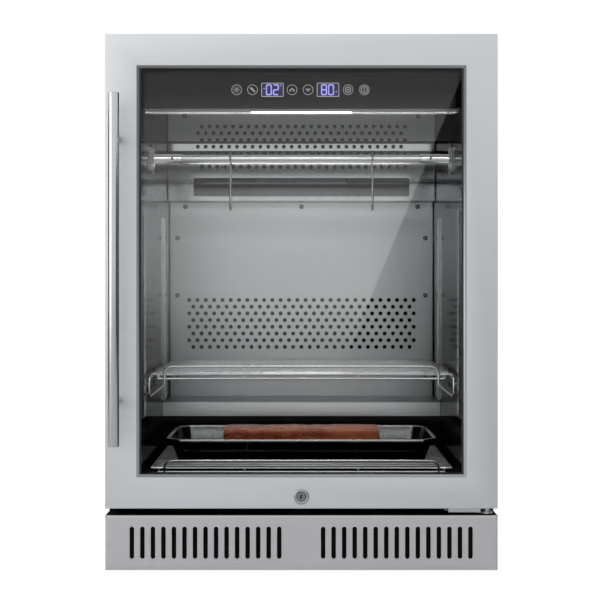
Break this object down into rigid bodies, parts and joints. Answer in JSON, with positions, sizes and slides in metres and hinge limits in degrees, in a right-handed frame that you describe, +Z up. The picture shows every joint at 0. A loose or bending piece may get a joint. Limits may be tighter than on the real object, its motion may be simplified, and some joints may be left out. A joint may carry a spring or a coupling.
{
  "type": "dry aging cabinet",
  "caption": "Under-counter glass-door cabinet for dry aging meat, with hanging rod and hooks, wire shelves, salt tray, touch fascia and a slotted plinth.",
  "frame": {"origin": "on the floor under the middle of the cabinet and its handle", "axes": "+Z up, front faces -Y, +X to the right seen from the front"},
  "size_m": [0.595, 0.6266, 0.815],
  "materials": {
    "frame_steel": "fine satin stainless steel",
    "polished_steel": "polished stainless steel",
    "satin_steel": "satin stainless steel sheet",
    "wire_steel": "bright drawn wire",
    "black_metal": "black powder coat",
    "galvanised": "bare metal",
    "copper": "lacquered copper",
    "black_plastic": "matte black",
    "gloss_black": "gloss black",
    "display": "dark blue display",
    "lens": "frosted white",
    "clear_glass": "clear",
    "foam": "rigid foam",
    "rubber": "matte black",
    "salt": "rough cut salt"
  },
  "bodies": {
    "cabinet": {"plinth_grille": "frame_steel", "lower_hinge_bracket": "frame_steel", "inner_liner": "polished_steel", "rod_socket_left": "polished_steel", "rod_socket_right": "polished_steel", "upper_back_panel": "satin_steel", "lower_back_panel": "satin_steel", "air_deflector": "satin_steel", "pilaster_front_left": "satin_steel", "pilaster_front_right": "satin_steel", "pilaster_rear_left": "satin_steel", "pilaster_rear_right": "satin_steel", "shelf_runner_left": "wire_steel", "shelf_runner_right": "wire_steel", "hanging_rod": "wire_steel", "outer_casing": "black_metal", "machine_cover": "black_metal", "upper_hinge_bracket": "black_metal", "lock_keeper": "black_metal", "compressor": "black_metal", "control_housing": "black_metal", "base_chassis": "galvanised", "evaporator_coil": "galvanised", "condenser_coil": "copper", "front_frame": "black_plastic", "mains_inlet": "black_plastic", "evaporator_fan_shroud": "black_plastic", "condenser_fan_shroud": "black_plastic", "drip_pan": "black_plastic", "control_fascia": "gloss_black", "temperature_display": "display", "humidity_display": "display", "led_lamp": "lens", "uv_lamp": "lens", "insulation": "foam"},
    "door": {"door_outer_frame": "frame_steel", "door_inner_frame": "black_plastic", "glass_spacer": "black_plastic", "outer_glass": "clear_glass", "inner_glass": "clear_glass", "door_gasket": "rubber", "hinge_bush_lower": "black_plastic", "hinge_bush_upper": "black_plastic", "handle_bar": "frame_steel", "handle_post_lower": "frame_steel", "handle_post_upper": "frame_steel", "lock_housing": "polished_steel"},
    "lock": {"lock_cylinder": "polished_steel"},
    "middle_shelf": {"middle_shelf": "wire_steel"},
    "lower_shelf": {"lower_shelf": "wire_steel"},
    "tray": {"salt_tray": "polished_steel"},
    "salt": {"salt_block": "salt"},
    "left_hook": {"hook_left": "wire_steel"},
    "right_hook": {"hook_right": "wire_steel"},
    "evaporator_rotor": {"evaporator_fan": "black_plastic"},
    "condenser_rotor": {"condenser_fan": "black_plastic"},
    "foot_front_left": {"foot_front_left": "rubber"},
    "foot_front_right": {"foot_front_right": "rubber"},
    "foot_rear_left": {"foot_rear_left": "rubber"},
    "foot_rear_right": {"foot_rear_right": "rubber"}
  },
  "joints": [
    {"name": "door_swing", "type": "hinge", "parent": "cabinet", "child": "door", "pos_m": [0.2836, -0.23975, 0.4], "axis": [0, 0, 1], "range_deg": [0, 115]},
    {"name": "lock_turn", "type": "hinge", "parent": "door", "child": "lock", "pos_m": [0, -0.24975, 0.1137], "axis": [0, -1, 0], "range_deg": [0, 90]},
    {"name": "middle_shelf_slide", "type": "slide", "parent": "cabinet", "child": "middle_shelf", "axis": [0, -1, 0], "range_m": [0, 0.2]},
    {"name": "lower_shelf_slide", "type": "slide", "parent": "cabinet", "child": "lower_shelf", "axis": [0, -1, 0], "range_m": [0, 0.2]},
    {"name": "tray_lift", "type": "slide", "parent": "lower_shelf", "child": "tray", "axis": [0, 0, 1], "range_m": [0, 0.04]},
    {"name": "salt_lift", "type": "slide", "parent": "tray", "child": "salt", "axis": [0, 0, 1], "range_m": [0, 0.03]},
    {"name": "left_hook_swing", "type": "hinge", "parent": "cabinet", "child": "left_hook", "pos_m": [-0.118, -0.05915, 0.6436], "axis": [1, 0, 0], "range_deg": [-20, 20]},
    {"name": "right_hook_swing", "type": "hinge", "parent": "cabinet", "child": "right_hook", "pos_m": [0.118, -0.05915, 0.6436], "axis": [1, 0, 0], "range_deg": [-20, 20]},
    {"name": "evaporator_fan_spin", "type": "hinge", "parent": "cabinet", "child": "evaporator_rotor", "pos_m": [0.15, 0.23025, 0.688], "axis": [0, 1, 0], "continuous": true},
    {"name": "condenser_fan_spin", "type": "hinge", "parent": "cabinet", "child": "condenser_rotor", "pos_m": [-0.08, 0.22425, 0.0783], "axis": [0, 1, 0], "continuous": true},
    {"name": "foot_front_left_screw", "type": "slide", "parent": "cabinet", "child": "foot_front_left", "axis": [0, 0, -1], "range_m": [0, 0.015]},
    {"name": "foot_front_right_screw", "type": "slide", "parent": "cabinet", "child": "foot_front_right", "axis": [0, 0, -1], "range_m": [0, 0.015]},
    {"name": "foot_rear_left_screw", "type": "slide", "parent": "cabinet", "child": "foot_rear_left", "axis": [0, 0, -1], "range_m": [0, 0.015]},
    {"name": "foot_rear_right_screw", "type": "slide", "parent": "cabinet", "child": "foot_rear_right", "axis": [0, 0, -1], "range_m": [0, 0.015]}
  ],
  "couplings": [
    {"joint": "middle_shelf_slide", "follows": "door_swing", "m_per_rad": 0.0996},
    {"joint": "lower_shelf_slide", "follows": "door_swing", "m_per_rad": 0.0996}
  ]
}
